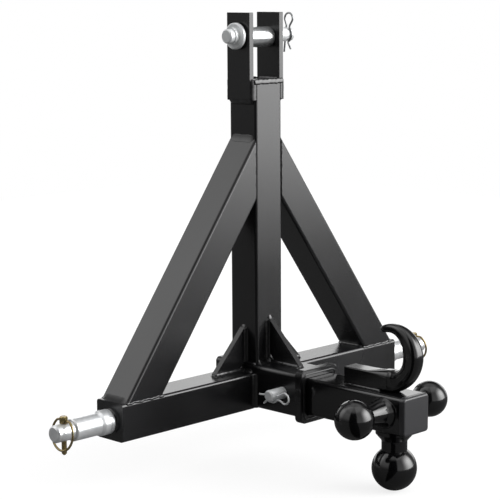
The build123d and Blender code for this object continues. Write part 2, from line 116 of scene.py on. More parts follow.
def add(tree, kind, links=None, values=None, stops=(), **settings):
    """Adds one node and returns it.

    settings are its own, values go on its inputs, links join outputs of other nodes to its
    inputs, and stops are the places and tones of a colour ramp.
    """
    node = tree.nodes.new(kind)
    while stops and len(node.color_ramp.elements) < len(stops):
        node.color_ramp.elements.new(0.5)
    for element, (place, tone) in zip(node.color_ramp.elements if stops else (), stops):
        element.position = place
        element.color = linear(tone) if isinstance(tone, str) else (tone, tone, tone, 1.0)
    for key, value in settings.items():
        setattr(node, key, value)
    for key, value in (values or {}).items():
        node.inputs[key].default_value = value
    for key, output in (links or {}).items():
        tree.links.new(output, node.inputs[key])
    return node


def fresh(name):
    """A new material, its emptied tree, and the output node in that tree."""
    material = bpy.data.materials.new(name)
    material.use_nodes = True
    material.node_tree.nodes.clear()
    return material, material.node_tree, add(material.node_tree, "ShaderNodeOutputMaterial")


print("a mid grey of 808080 is", round(linear("#808080")[0], 3), "in linear")

# %% [markdown]
# ## Black powder coat
#
# Powder coat is a plastic that is sprayed on dry and melted into a skin about 0.08 mm thick. It
# flows a little before it sets, which leaves a soft orange peel with waves of three to five
# millimetres, and it keeps a satin shine. Its gloss shows the studio, so the colour is almost
# black and the light does the rest. A picture of a coat could be wrapped round every tube, but
# noise that fills space needs no wrapping and runs on round the corners. The drift in gloss is
# as wide as the passes of a spray gun, about 110 mm. Real grit is finer than a tenth of a
# millimetre, which is too fine to show, so it is drawn 0.8 mm wide. Object coordinates are in
# metres, so a noise with the scale 1000 / size in mm has cells of that size.

# %% Powder coat on the frame and on the ball mount
DRIFT_MM = 1000 / 9
GRIT_MM = 0.8
GRIT_SHARE = 0.25
GLOSS_DRIFT = 0.04
RESIN_IOR = 1.6


def powder_coat(name, colour, deeper, roughness, peel_mm, depth_mm):
    """Thermoset coat: a dark base, a gloss that drifts, and a bump of peel + GRIT_SHARE x grit."""
    material, tree, output = fresh(name)
    noise = "ShaderNodeTexNoise"
    place = {"Vector": add(tree, "ShaderNodeTexCoord").outputs["Object"]}
    drift = add(tree, noise, place, {"Scale": 1000 / DRIFT_MM, "Detail": 2.0}).outputs["Fac"]
    peel = add(tree, noise, place, {"Scale": 1000 / peel_mm, "Detail": 1.0}).outputs["Fac"]
    grit = add(tree, noise, place, {"Scale": 1000 / GRIT_MM, "Detail": 2.0}).outputs["Fac"]
    tone = add(tree, "ShaderNodeValToRGB", {"Fac": drift}, stops=((0.3, colour), (0.7, deeper)))
    gloss_range = {"To Min": roughness - GLOSS_DRIFT, "To Max": roughness + GLOSS_DRIFT}
    gloss = add(tree, "ShaderNodeMapRange", {"Value": drift}, gloss_range)
    height = add(tree, MATH, {0: grit, 2: peel}, {1: GRIT_SHARE}, operation="MULTIPLY_ADD")
    bump = add(
        tree,
        "ShaderNodeBump",
        {"Height": height.outputs[0]},
        {"Strength": 1.0, "Distance": depth_mm * MM},
    )
    skin = add(
        tree,
        "ShaderNodeBsdfPrincipled",
        {
            "Base Color": tone.outputs["Color"],
            "Roughness": gloss.outputs["Result"],
            "Normal": bump.outputs["Normal"],
        },
        {"IOR": RESIN_IOR},
    )
    tree.links.new(skin.outputs["BSDF"], output.inputs["Surface"])
    return material


satin_coat = powder_coat(
    "powder_coat_satin_black", "#0B0B0C", "#121214", roughness=0.26, peel_mm=3.2, depth_mm=0.006
)
gloss_coat = powder_coat(
    "powder_coat_ball_black", "#0A0A0B", "#101011", roughness=0.14, peel_mm=4.5, depth_mm=0.004
)
# The end plate has the same black coat with a lighter base colour, #2A2A2C: painted sheen that
# stands for the bright floor and soft box mirrored in its face.
plate_coat_painted_sheen = powder_coat(
    "powder_coat_plate_painted_sheen", "#2A2A2C", "#303033", roughness=0.34, peel_mm=3.2, depth_mm=0.006
)
print("coats:", satin_coat.name, gloss_coat.name, plate_coat_painted_sheen.name)

# %% [markdown]
# ## Zinc plate
#
# The pins are turned steel with a thin layer of zinc. Clear zinc is nearly white, with faint
# lines from the lathe and cloudy patches where the bath was uneven. Yellow zinc has a chromate
# film on top, which runs from straw to pink and green where its thickness changes. A bare metal
# shader would mirror the dark side of the studio and turn half black. The film scatters light
# as well, so the milkier a piece looks, the lower its metallic value is. Lathe lines lie about
# 0.2 mm apart, too fine to show, so the scratches are drawn 1.2 mm wide.

# %% Bright and yellow plate
SCRATCH_MM = 1.2
SCRATCH_DEPTH_MM = 0.006
GLOSS_BELOW, GLOSS_ABOVE = 0.05, 0.07


def zinc_plate(name, stops, roughness, cloud_mm, metallic):
    """Plated metal: a colour from cloudy noise, and scratches in its gloss and in a low bump."""
    material, tree, output = fresh(name)
    noise = "ShaderNodeTexNoise"
    place = {"Vector": add(tree, "ShaderNodeTexCoord").outputs["Object"]}
    cloud_form = {"Scale": 1000 / cloud_mm, "Detail": 3.0, "Roughness": 0.55}
    cloud = add(tree, noise, place, cloud_form).outputs["Fac"]
    scratch = add(tree, noise, place, {"Scale": 1000 / SCRATCH_MM, "Detail": 2.0}).outputs["Fac"]
    tone = add(tree, "ShaderNodeValToRGB", {"Fac": cloud}, stops=stops)
    gloss_range = {"To Min": roughness - GLOSS_BELOW, "To Max": roughness + GLOSS_ABOVE}
    gloss = add(tree, "ShaderNodeMapRange", {"Value": scratch}, gloss_range)
    bump = add(
        tree,
        "ShaderNodeBump",
        {"Height": scratch},
        {"Strength": 0.6, "Distance": SCRATCH_DEPTH_MM * MM},
    )
    skin = add(
        tree,
        "ShaderNodeBsdfPrincipled",
        {
            "Base Color": tone.outputs["Color"],
            "Roughness": gloss.outputs["Result"],
            "Normal": bump.outputs["Normal"],
        },
        {"Metallic": metallic},
    )
    tree.links.new(skin.outputs["BSDF"], output.inputs["Surface"])
    return material


bright_tones = ((0.35, "#D6D8DA"), (0.65, "#E6E7E7"))
turned_tones = ((0.35, "#E0E2E4"), (0.65, "#ECEEEE"))
drawn_tones = ((0.35, "#DCDEE0"), (0.65, "#EAEBEC"))
wire_tones = ((0.35, "#8E9092"), (0.65, "#A6A7A8"))
chromate_tones = ((0.30, "#7C7152"), (0.46, "#9C8C5E"), (0.58, "#8F7C64"), (0.72, "#707256"))
bright_zinc = zinc_plate("zinc_plate_bright", bright_tones, 0.24, cloud_mm=14.0, metallic=0.9)
turned_zinc = zinc_plate("zinc_plate_turned", turned_tones, 0.34, cloud_mm=14.0, metallic=0.25)
pin_zinc = zinc_plate("zinc_plate_drawn_bar", drawn_tones, 0.30, cloud_mm=14.0, metallic=0.65)
wire_zinc = zinc_plate("zinc_plate_spring_wire", wire_tones, 0.30, cloud_mm=6.0, metallic=0.9)
yellow_zinc = zinc_plate(
    "zinc_plate_yellow_chromate", chromate_tones, 0.26, cloud_mm=5.0, metallic=0.9
)
plates = (bright_zinc, turned_zinc, pin_zinc, wire_zinc, yellow_zinc)
print("plates:", ", ".join(plate.name for plate in plates))

# %% [markdown]
# ## Which piece has which finish
#
# The frame is coated as one weldment, the ball mount is coated apart and has a wetter gloss, and
# every pin, clip and ring is plated before it goes in. So a piece has one finish all over.
# Materials could be painted face by face, but a table of pieces says it shorter, and whatever
# isn't in the table has the frame's coat.

# %% Give each solid its finish
pieces_of = (
    (gloss_coat, ("tow_hook", "left_ball", "right_ball", "bottom_ball", "shank")),
    # the end plate takes the copy of the coat whose lighter base colour is painted sheen
    (plate_coat_painted_sheen, ("shank_end_plate",)),
    (turned_zinc, ("top_link_pin", "hitch_pin", "hitch_clip")),
    (pin_zinc, ("left_link_pin", "right_link_pin")),
    (bright_zinc, ("top_sleeve",)),
    (wire_zinc, ("top_clip",)),
    (yellow_zinc, ("left_lynch_pin", "right_lynch_pin", "left_lynch_ring", "right_lynch_ring")),
)
finish_of = dict.fromkeys(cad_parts, satin_coat)
for finish, pieces in pieces_of:
    finish_of.update(dict.fromkeys(pieces, finish))
for node_name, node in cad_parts.items():
    node.data.materials.clear()
    node.data.materials.append(finish_of[node_name])
print("finished", len(finish_of), "solids")

# %% [markdown]
# ## Weld beads
#
# A gas-shielded bead fills the corner between two pieces. After powder coating it reads as a
# smooth cove 5 to 8 mm wide, with faint ripples about 2 mm apart where each drop froze, and its
# edges wander because it was made by hand. Boxes or tubes along the seams would look stuck on, so
# each bead is a profile carried along its seam. This cell has what varies along a seam: the
# slow wander of the hand, the round ends, and the ripples.

# %% Along a seam
rng = np.random.default_rng(7)
STEP = 1.0
FEWEST_STEPS = 8
WANDER_LENGTHS = np.array((19.0, 8.3))
BLUNT_END = 0.03
RIPPLE_PITCH = 2.2
RIPPLE_DEPTH = 0.07


def walk(corners, closed=False):
    """Points every STEP mm through the corners, how far each is from the start, and the length."""
    corners = np.asarray(corners, float)
    if closed:
        corners = np.vstack([corners, corners[:1]])
    lengths = np.linalg.norm(np.diff(corners, axis=0), axis=1)
    marks = np.concatenate([[0], np.cumsum(lengths)])
    count = max(FEWEST_STEPS, int(round(marks[-1] / STEP)))
    along = np.linspace(0, marks[-1], count + 1)[: count if closed else count + 1]
    points = np.stack([np.interp(along, marks, corners[:, k]) for k in range(3)], axis=1)
    return points, along, marks[-1]


def unit(rows):
    """Each row divided by its length."""
    return rows / np.linalg.norm(rows, axis=1)[:, None]


def slow_wave(along, total, closed):
    """A smooth wander from -1 to 1: 0.6 sine + 0.4 sine, in whole turns on a closed seam."""
    turns = total / WANDER_LENGTHS
    turns = np.maximum(1, np.round(turns)) if closed else turns
    phase = rng.uniform(0, 2 * np.pi, 2)
    waves = np.sin(2 * np.pi * turns[:, None] * along[None] / total + phase[:, None])
    return 0.6 * waves[0] + 0.4 * waves[1]


def end_taper(along, total, reach):
    """1 in the middle, and a round nose at each end: sqrt(1 - (1 - s / reach) ** 2), kept blunt."""
    share = np.clip(np.minimum(along, total - along) / reach, 0, 1)
    return np.sqrt(np.clip(1 - (1 - share) ** 2, BLUNT_END, 1))


def ripples(along):
    """The drops that froze one by one: RIPPLE_DEPTH (|sin(pi s / RIPPLE_PITCH)| - 0.5)."""
    return RIPPLE_DEPTH * (np.abs(np.sin(np.pi * along / RIPPLE_PITCH)) - 0.5)


print("a seam of 50 mm has", len(walk(((0, 0, 0), (50, 0, 0)))[0]), "points")

# %% [markdown]
# ### The bead in a corner
#
# Most beads fill a corner. Such a bead starts on one face, sags towards the corner as the cooling
# metal draws in, and ends on the other face. Its two edges are sunk a little into the metal, so
# no gap shows, and it closes through a point buried under the seam.

# %% A bead in a corner
ACROSS = 9
SUNK = -0.25


def cove(corners, face_a, face_b, leg_a, leg_b, sag=-0.16, closed=False, wander=0.08, nose=None):
    """A bead in a corner, as rings of points, one ring to each point of the seam.

    face_a and face_b are the directions up the two faces, and A and B are those times the legs
    in mm. Across the bead t runs from 0 to 1, and the skin is
    A (1 - t) + B t + sag 4 t (1 - t) (A + B), plus the ripples outward.
    """
    path, along, total = walk(corners, closed=closed)
    face_a = np.broadcast_to(np.asarray(face_a, float), path.shape)
    face_b = np.broadcast_to(np.asarray(face_b, float), path.shape)
    nose = np.min(leg_a) if nose is None else nose
    taper = 1.0 if closed else end_taper(along, total, nose)
    reach_a = (leg_a * taper * (1 + wander * slow_wave(along, total, closed)))[:, None] * face_a
    reach_b = (leg_b * taper * (1 + wander * slow_wave(along, total, closed)))[:, None] * face_b
    t = np.linspace(0, 1, ACROSS)[None, :, None]
    bulge = sag * 4 * t * (1 - t)
    skin = reach_a[:, None] * (1 - t + bulge) + reach_b[:, None] * (t + bulge)
    outward = unit(face_a + face_b)
    skin = skin + outward[:, None] * ripples(along)[:, None, None] * np.sin(np.pi * t)
    edges = SUNK * (face_b[:, None] * (1 - t) + face_a[:, None] * t)
    skin = skin + edges * (1 - np.sin(np.pi * t))
    root = (SUNK * 3 * outward)[:, None]
    grid = path[:, None] + np.concatenate([skin, root], axis=1)
    return grid, closed


print("a ring of a corner bead has", ACROSS, "points on its skin and one at its root")

# %% [markdown]
# ### The bead on an edge, and the bead of any outline
#
# Where two tubes are flush, their round corners leave a groove, and the bead in it stands up as
# a low round ridge. A few beads on the plates at the top are neither: they were laid on a thin
# edge and slumped over it. Those take their outline from a list of points.

# %% A bead on an edge, and one of any outline
ROUND = 14
SWELL = 0.08
NEARLY_UPRIGHT = 0.8


def ridge(corners, radius, closed=False, wander=0.35):
    """A round bead: centre + radius (cos u side + sin u top), with a slow swell and wander."""
    path, along, total = walk(corners, closed=closed)
    steps = np.roll(path, -1, 0) - np.roll(path, 1, 0) if closed else np.gradient(path, axis=0)
    forward = unit(steps)
    upright = np.abs(forward[:, 2:3]) > NEARLY_UPRIGHT
    helper = np.where(upright, np.array([[1.0, 0, 0]]), np.array([[0, 0, 1.0]]))
    side = unit(np.cross(forward, helper))
    top = np.cross(side, forward)
    taper = 1.0 if closed else end_taper(along, total, radius)
    rings = radius * taper * (1 + SWELL * slow_wave(along, total, closed)) + ripples(along)
    centre = path + wander * slow_wave(along, total, closed)[:, None] * top
    angle = (np.arange(ROUND) * 2 * np.pi / ROUND)[None, :, None]
    around = side[:, None] * np.cos(angle) + top[:, None] * np.sin(angle)
    return centre[:, None] + rings[:, None, None] * around, closed


def band(corners, front, side, outline, nose=1.0, wander=0.0):
    """A bead of any outline: seam + a front + b side, with a and b in mm from the outline."""
    path, along, total = walk(corners)
    front, side, outline = (np.asarray(v, float) for v in (front, side, outline))
    section = outline[:, 0:1] * front + outline[:, 1:2] * side
    taper = end_taper(along, total, nose)[:, None, None]
    middle = path + wander * slow_wave(along, total, False)[:, None] * side
    return middle[:, None] + taper * section[None], False


print("a ring of an edge bead has", ROUND, "points")

# %% [markdown]
# ### From beads to one piece
#
# A welder's pass over one joint is one piece here, and it belongs to the frame's body. Each bead
# could be an object of its own, but dozens of tiny ones would be hard to find in the model. The
# rings are joined by four-sided faces, and an open bead gets a cap at both ends. The faces have
# to point outwards, and the sign of a bead's volume tells which way they point.

# %% Join the beads of a joint
def tube_faces(rows, columns, closed):
    """Four-sided faces between neighbouring rings, and between last and first on a closed seam."""
    row_starts = np.arange(rows if closed else rows - 1)
    i, j = np.meshgrid(row_starts, np.arange(columns), indexing="ij")
    this_ring, next_ring = i * columns, ((i + 1) % rows) * columns
    after = (j + 1) % columns
    corners = [this_ring + j, this_ring + after, next_ring + after, next_ring + j]
    return np.stack(corners, -1).reshape(-1, 4)


def weld(name, beads, material=None, body="frame"):
    """One piece from several beads, each a grid in mm and whether its seam is closed.

    Six times a bead's volume is the sum of a . (b x c) over its triangles, measured from its
    middle. Where it is negative the faces are inside out, and they are turned round.
    """
    points, faces, start = [], [], 0
    for grid, closed in beads:
        rows, columns = grid.shape[:2]
        flat = grid.reshape(-1, 3)
        quads = tube_faces(rows, columns, closed)
        first_ring = np.arange(columns)
        caps = [] if closed else [first_ring[::-1], first_ring + (rows - 1) * columns]
        fans = [np.stack([np.full(columns - 2, cap[0]), cap[1:-1], cap[2:]], 1) for cap in caps]
        triangles = np.vstack([quads[:, [0, 1, 2]], quads[:, [0, 2, 3]], *fans])
        corners = (flat - flat.mean(axis=0))[triangles]
        volume = (corners[:, 0] * np.cross(corners[:, 1], corners[:, 2])).sum()
        order = 1 if volume > 0 else -1
        faces += (quads[:, ::order] + start).tolist()
        faces += [(cap[::order] + start).tolist() for cap in caps]
        points.append(flat)
        start += len(flat)
    mesh = bpy.data.meshes.new(name)
    mesh.from_pydata((np.vstack(points) * MM).tolist(), [], faces)
    mesh.polygons.foreach_set("use_smooth", np.ones(len(mesh.polygons), bool))
    mesh.materials.append(material or satin_coat)
    mesh.update()
    piece = bpy.data.objects.new(name, mesh)
    bpy.context.scene.collection.objects.link(piece)
    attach(piece, body)
    print(name, "beads:", len(beads), "faces:", len(mesh.polygons))
    return piece


print("a closed tube of 3 rings of 4 points has", len(tube_faces(3, 4, True)), "faces")

# %% [markdown]
# ## Where the seams lie
#
# The seams lie between the solids. They could be read from the meshes, but the few sizes that
# they hang on are known, and the same names as in the source keep the two in step: 50 mm tube
# with round corners, a 60 mm receiver, and the gussets and plates where they stand.

# %% Sizes that the beads share with the solids
half = 25.0
flat_half = 21.0
receiver_half = 30.0
receiver_top = 36.5
receiver_middle = receiver_top - receiver_half
post_top = 420.0
clevis_foot = 396.0
brace_top = 342.6
foot_outer = 260.0
brace_slope = math.atan2(brace_top - half, foot_outer - half)
brace_under = brace_top - 2 * half / math.cos(brace_slope)
foot_inner = foot_outer - 2 * half / math.sin(brace_slope)
sides = (-1, 1)
UP, DOWN, FRONT, BACK = (0, 0, 1), (0, 0, -1), (0, -1, 0), (0, 1, 0)
front_and_rear = ((FRONT, -half), (BACK, half))


def front_to_back(x, reach, z):
    """The two ends of a seam that runs from -reach to reach in depth."""
    return (x, -reach, z), (x, reach, z)


def side_to_side(reach, y, z):
    """The two ends of a seam that runs from -reach to reach in width."""
    return (-reach, y, z), (reach, y, z)


slope_degrees = round(math.degrees(brace_slope), 1)
print("brace slope", slope_degrees, "degrees, inner foot at", round(foot_inner, 1), "mm")

# %% [markdown]
# ## Beads of the braces
#
# Each brace is cut slanting at both ends and welded all round. The beads over and under its
# head, and inside and outside its foot, lie in open corners, so they are coves. At the front and
# the rear the faces are flush, so those beads are low ridges, one along the crossbar's round
# edge and one up the post's.

# %% Beads of the braces
edge_y = half - 1.9
edge_z = half - 1.0
post_edge_x = half + 1
post_edge_y = edge_y * 1.02
beads = []
for s in sides:
    down_brace = (s * math.cos(brace_slope), 0, -math.sin(brace_slope))
    up_brace = (-down_brace[0], 0, -down_brace[2])
    out, inward = (s, 0, 0), (-s, 0, 0)
    head, throat = (front_to_back(s * half, flat_half, z) for z in (brace_top, brace_under))
    heel, instep = (front_to_back(s * x, flat_half, half) for x in (foot_outer, foot_inner))
    beads += [
        cove(head, UP, down_brace, leg_a=6, leg_b=6),
        cove(throat, DOWN, down_brace, leg_a=8, leg_b=8),
        cove(heel, out, up_brace, leg_a=6, leg_b=8, sag=-0.2),
        cove(instep, inward, up_brace, leg_a=7, leg_b=7),
    ]
    for turn in sides:
        y, post_y, post_x = turn * edge_y, turn * post_edge_y, s * post_edge_x
        foot_seam = ((s * (foot_inner - 2), y, edge_z), (s * (foot_outer + 1), y, edge_z))
        post_seam = ((post_x, post_y, brace_under + 6), (post_x, post_y, brace_top - 4))
        beads.append(ridge(foot_seam, radius=2.3, wander=0.9))
        beads.append(ridge(post_seam, radius=1.5, wander=0.15))
weld("brace_welds", beads)

# %% [markdown]
# ## Beads of the crossbar and the post's foot
#
# Both halves of the crossbar butt against the receiver. Their front and rear beads stand upright
# in the corner, a third lies on top, and a ridge closes the joint below, where the receiver's
# edge is round. The post stands on the receiver, with a bead in front and one at the rear. At
# its sides the receiver's round edge falls away, so that bead is a thick ridge.

# %% Beads of the crossbar on the receiver, and of the post on top
seam_low, seam_high = -23.4, 24.5
under_x, under_z = 29, -23.2
shoulder_x, shoulder_z = 25.5, receiver_top - 1.2
shoulder_half = 23
post_seam_half = 24
beads = []
for s in sides:
    x = s * receiver_half
    out = (s, 0, 0)
    for face, y in front_and_rear:
        seam = ((x, y, seam_low), (x, y, seam_high))
        beads.append(cove(seam, face, out, 6.4, 6.4, sag=-0.2, wander=0.03, nose=1.5))
    beads.append(cove(front_to_back(x, flat_half, half), UP, out, leg_a=5, leg_b=6))
    beads.append(ridge(front_to_back(s * under_x, flat_half, under_z), radius=2.2))
    beads.append(ridge(front_to_back(s * shoulder_x, shoulder_half, shoulder_z), radius=3.4))
weld("crossbar_welds", beads)
weld("post_foot_weld", [
    cove(side_to_side(post_seam_half, y, receiver_top), face, UP, leg_a=6.5, leg_b=6.5, nose=3)
    for face, y in front_and_rear
])

# %% [markdown]
# ## Beads of the gussets
#
# A gusset is a triangular plate that stiffens the post's foot. It has a bead along both sides of
# its foot and of its back, and one round each tip. In the corner itself the passes meet in a
# deep fill. The front gusset's upper tip shows as a small slumped mound.

# %% Beads of the gussets
gusset_run = 58.0
gusset_rise = 60.0
gusset_half = 4.0
tip_reach = gusset_half + 1
mound_half = 4.5
mound_z = receiver_top + gusset_rise + 1.0
mound_outline = (
    (-0.5, -5.5), (1.6, -5.0), (2.9, -4.0), (3.0, -2.6), (2.5, -0.6),
    (1.9, 1.6), (1.2, 3.6), (0.4, 4.8), (-0.8, 5.2), (-1.2, 0.0),
)


def gusset_beads(root, out, side, fill):
    """Beads round one gusset, whose corner is root.

    out runs along its foot, side goes across it, and fill is half the width of the corner's bead.
    """
    root, out, side, up = (np.asarray(v, float) for v in (root, out, side, UP))
    foot_tip, back_tip = root + out * gusset_run, root + up * gusset_rise
    reach, width = side * tip_reach, side * fill
    runs = []
    for turn in (-1, 1):
        across = side * turn
        edge = root + across * gusset_half
        foot_seam = (edge, edge + out * gusset_run)
        back_seam = (edge, edge + up * gusset_rise)
        runs.append(cove(foot_seam, across, up, 5.0, 4.5, wander=0.05, nose=2))
        runs.append(cove(back_seam, across, out, 5.0, 4.5, wander=0.05, nose=2))
    runs.append(cove((foot_tip - reach, foot_tip + reach), out, up, leg_a=4.5, leg_b=3.2))
    runs.append(cove((back_tip - reach, back_tip + reach), up, out, leg_a=4.5, leg_b=3.2))
    corner = (root - width, root + width)
    runs.append(cove(corner, out, up, 15.5, 15.5, sag=-0.19, wander=0.02, nose=fill - 1))
    return runs


beads = []
for s in sides:
    beads += gusset_beads((s * half, 0, half), (s, 0, 0), BACK, fill=13)
beads += gusset_beads((0, -half, receiver_top), FRONT, (1, 0, 0), fill=8)
mound_seam = side_to_side(mound_half, -half, mound_z)
beads.append(band(mound_seam, FRONT, UP, mound_outline, nose=4.4))
weld("gusset_welds", beads)

# %% [markdown]
# ## Beads of the clevis plates and the post's cap
#
# The two plates that hold the top pin are welded to the post's sides. Their upright edges have
# slumped beads that hide the step between plate and tube. Under each plate hangs a wide bead,
# and the cap has a short bead at each side and a lip of weld over its front and rear edges.

# %% Beads of the clevis plates and the post's cap
plate_edge_outline = (
    (3.3, -2.5), (3.8, -1.4), (3.85, 0.4), (3.6, 2.4), (3.1, 4.2), (2.3, 5.7),
    (1.4, 6.5), (0.3, 6.9), (-1.0, 5.8), (-1.2, 0.0), (1.6, -3.6),
)
cap_lip_outline = (
    (0.2, -4.9), (1.5, -4.3), (1.9, -3.0), (1.5, -1.0), (1.0, 0.9), (0.3, 2.1),
    (-1.0, 2.5), (-2.5, 1.9), (-3.4, 0.4), (-3.0, -1.2), (-1.6, -3.0),
)
edge_depth = {-1: 1.0, 1: 0.7}
edge_low, edge_high = clevis_foot - 3, post_top + 1.5
cap_half = 19
lip_half = half + 3
beads = []
for s in sides:
    out, inward = (s, 0, 0), (-s, 0, 0)
    for turn in sides:
        x, y = s * half, turn * flat_half
        front = (0, edge_depth[turn] * turn, 0)
        seam = ((x, y, edge_low), (x, y, edge_high))
        beads.append(band(seam, front, out, plate_edge_outline, wander=0.2))
    under = front_to_back(s * half, flat_half, clevis_foot)
    beads.append(cove(under, DOWN, out, 8, 6.6, sag=0.02, wander=0.03, nose=0.8))
    beads.append(cove(front_to_back(s * half, cap_half, post_top), UP, inward, leg_a=3.5, leg_b=4))
for turn in sides:
    lip = side_to_side(lip_half, turn * half, post_top)
    beads.append(band(lip, (0, turn, 0), UP, cap_lip_outline, nose=2.0, wander=0.4))
weld("clevis_welds", beads)

# %% [markdown]
# ## Beads of the collar and the end plates
#
# These seams close on themselves. The collar is a square frame round the receiver's mouth, with
# a cove behind it and a fine ridge in front, where its edge meets the tube. Each end plate has a
# round bead at the root of its link pin. The wander fits into whole turns, so no joint shows.

# %% Beads of the receiver's collar
QUARTER_POINTS = 7
collar_rear, collar_front = -105.4, -116.1
collar_corner = 6.0


def rounded_square(y, half_side, corner):
    """Points round a square with round corners, in the plane at y: four quarter circles."""
    quarter = np.linspace(0, np.pi / 2, QUARTER_POINTS)
    angle = np.concatenate([quarter + k * np.pi / 2 for k in range(4)])
    quadrants = np.array([(1, 1), (-1, 1), (-1, -1), (1, -1)])
    middle = np.repeat(quadrants * (half_side - corner), QUARTER_POINTS, axis=0)
    flat = middle + corner * np.stack([np.cos(angle), np.sin(angle)], 1)
    return np.stack([flat[:, 0], np.full(len(flat), y), flat[:, 1] + receiver_middle], 1)


def outward_from(centre, path, axis):
    """Unit directions from the axis through centre to each point, square to the axis."""
    axis = np.asarray(axis, float)
    spokes = path - np.asarray(centre, float)
    return unit(spokes - (spokes @ axis)[:, None] * axis)


rear_seam = rounded_square(collar_rear, receiver_half, collar_corner)
front_seam = rounded_square(collar_front, receiver_half + 0.3, collar_corner)
spokes = outward_from((0, 0, receiver_middle), walk(rear_seam, closed=True)[0], FRONT)
weld("collar_weld", [
    cove(rear_seam, spokes, BACK, leg_a=4.2, leg_b=5.0, closed=True),
    ridge(front_seam, radius=1.3, closed=True, wander=0.1),
])

# %% Beads of the end plates
plate_face = 267.5
pin_seam_radius = 13.5


def ring(centre, radius, axis, across, count=72):
    """A circle, centre + radius (cos u across + sin u axis x across), and its spokes."""
    axis, across = np.asarray(axis, float), np.asarray(across, float)
    angle = (np.arange(count) * 2 * np.pi / count)[:, None]
    sweep = np.cos(angle) * across + np.sin(angle) * np.cross(axis, across)
    circle = np.asarray(centre, float) + radius * sweep
    return circle, outward_from(centre, walk(circle, closed=True)[0], axis)


beads = []
for s in sides:
    circle, spokes = ring((s * plate_face, 0, 0), pin_seam_radius, (1, 0, 0), UP)
    beads.append(cove(circle, spokes, (s, 0, 0), leg_a=3.0, leg_b=2.6, closed=True))
weld("end_plate_welds", beads)

# %% [markdown]
# ## Beads of the tow hook and the balls
#
# The hook's arm lies on the shank, with a small bead along both sides and one across its rear
# end. The balls' necks end in a round base on the shank, and their beads are smooth and wide,
# so that neck and tube read as one. Near the shank's upper edge there is less room, and the bead
# is narrower there. All of them have the ball mount's gloss coat.

# %% Beads of the tow hook
shank_top = 31.5
arm_z = shank_top - 0.1
arm_half = 12
arm_rear, arm_front = -172, -232
arm_seams = [
    (((s * arm_half, arm_rear, arm_z), (s * arm_half, arm_front, arm_z)), (s, 0, 0)) for s in sides
]
arm_seams.append((side_to_side(arm_half, arm_rear + 1, arm_z), BACK))
weld("hook_welds", [
    cove(seam, face, UP, 2.5, 2.5, sag=-0.2, wander=0.04) for seam, face in arm_seams
], material=gloss_coat)

# %% Beads of the three balls
ball_y, ball_z = -248, 9.7
neck_radius = 16.6
neck_lean = (0.983, 0.184)
spoke_heights = (-1, 0.35, 0.8, 1)
bead_widths = (5.8, 5.8, 3.2, 2.6)
bottom_y, bottom_z = -246.4, -17.2
bottom_radius = 24.3
bottom_lean = 0.55

beads = []
for s in sides:
    circle, spokes = ring((s * half, ball_y, ball_z), neck_radius, (1, 0, 0), UP)
    climb = np.array((s * neck_lean[0], 0, 0)) - neck_lean[1] * spokes
    width = np.interp(spokes[:, 2], spoke_heights, bead_widths)
    beads.append(cove(circle, spokes, climb, width, 16.0, sag=-0.2, closed=True, wander=0.03))
circle, spokes = ring((0, bottom_y, bottom_z), bottom_radius, UP, (1, 0, 0))
fall = bottom_lean * np.array(DOWN) - bottom_lean * spokes
beads.append(cove(circle, UP, fall, leg_a=4.0, leg_b=5.0, sag=0.05, closed=True))
weld("ball_welds", beads, material=gloss_coat)

# %% [markdown]
# ## Floor
#
# The photograph has a pure white ground. A white board under a strong light would give that, but
# it would throw the light up at the object as well and turn its lower faces grey. So the board
# shows each kind of ray what it needs. The camera sees a pale board with a share of plain white
# in it, which leaves only a faint shadow. Mirroring faces see white far behind the object.
# Everything else sees a mid grey board, with a wedge of painted shade in front of the lowest
# ball: a dark patch that the balls mirror as a dark band. The board's tone drifts a little, over
# about a third of a metre.

# %% Floor
front_axis = (-0.7147, -0.6994, 0.0)
right_axis = (0.6994, -0.7147, 0.0)
# Where the painted shade lies: a dark wedge that starts a little in front of the lowest ball.
painted_shade_point = (-0.035, -0.247, 0.0)
painted_shade_turn = math.radians(10.5)
painted_shade_half = math.radians(22.5)
painted_shade_start = 0.05
white_behind = -1.0
camera_white = 0.72
white_strength = 1.12
board_cloud_mm = 1000 / 3


